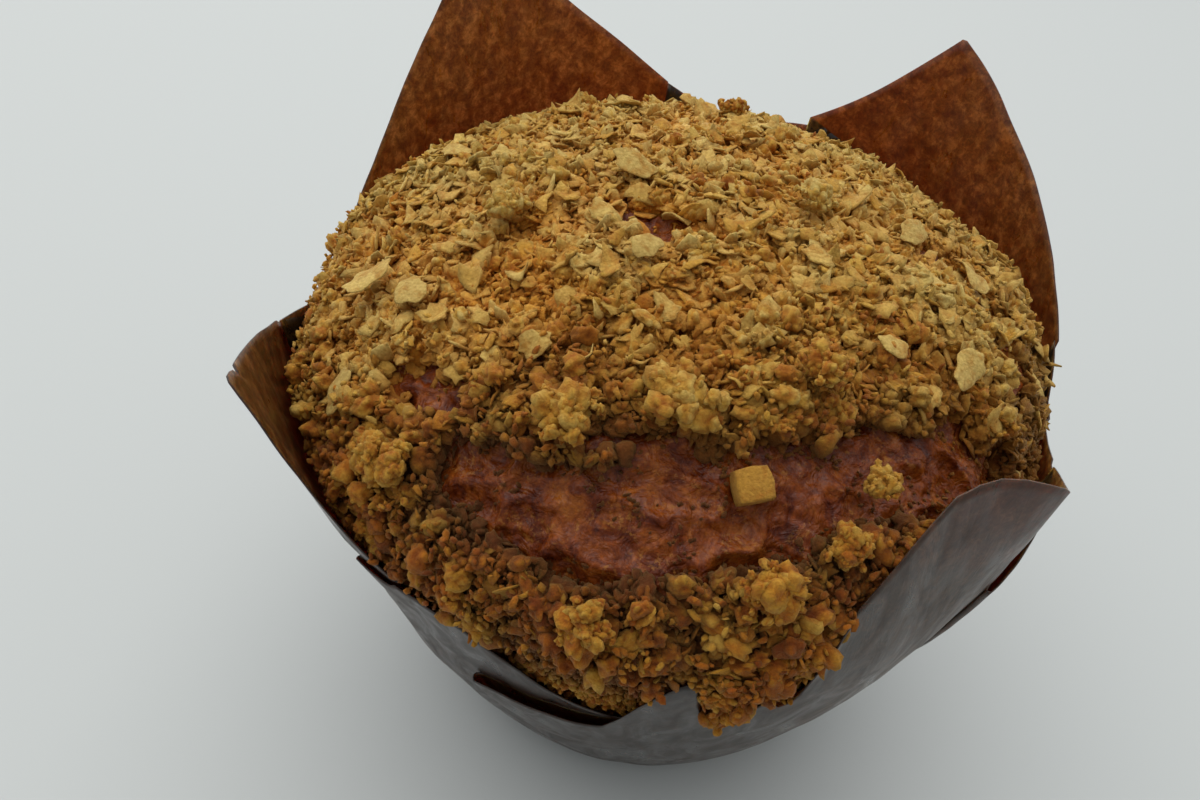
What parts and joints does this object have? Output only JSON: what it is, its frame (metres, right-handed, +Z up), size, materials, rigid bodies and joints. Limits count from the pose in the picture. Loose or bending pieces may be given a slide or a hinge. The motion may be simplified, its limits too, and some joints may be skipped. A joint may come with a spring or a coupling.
{
  "type": "muffin",
  "caption": "Muffin with an oat crumble top, baked in a folded tulip cup of brown parchment whose four corners stand up as petals.",
  "frame": {"origin": "centre of the flat bottom of the paper cup, on the surface it stands on", "axes": "+Z up; -Y towards the low front valley of the cup, with the open, thinly crumbled side of the dome; +X to the right as seen from that side"},
  "size_m": [0.0804, 0.0798, 0.078],
  "materials": {
    "parchment": "brown greaseproof parchment, smooth and a little shiny outside",
    "crust": "baked cake crust, reddish brown and slightly moist",
    "crumble": "toasted butter and oat crumble, rough and dry",
    "oat": "toasted rolled oat flakes, pale and matt"
  },
  "bodies": {
    "root": {"cake": "crust", "crumble_bit_bare_right": "crumble", "crumble_chunk_square": "crumble", "crumble_clump_back": "crumble", "crumble_clump_back_low": "crumble", "crumble_clump_centre": "crumble", "crumble_clump_centre_right": "crumble", "crumble_clump_crown": "crumble", "crumble_clump_front_ball": "crumble", "crumble_clump_front_left": "crumble", "crumble_clump_front_right": "crumble", "crumble_clump_left": "crumble", "crumble_clump_ring": "crumble", "crumble_clump_upper_left": "crumble", "crumble_curl_right": "crumble", "crumble_topping": "crumble", "oat_flake_back_left": "oat", "oat_flake_back_right": "oat", "oat_flake_crown": "oat", "oat_flake_far_right": "oat", "oat_flake_front_crown": "oat", "oat_flake_left_inner": "oat", "oat_flake_left_low": "oat", "oat_flake_left_upper": "oat", "oat_flake_right": "oat", "oat_flake_upper_right": "oat", "paper_cup": "parchment"}
  },
  "joints": []
}
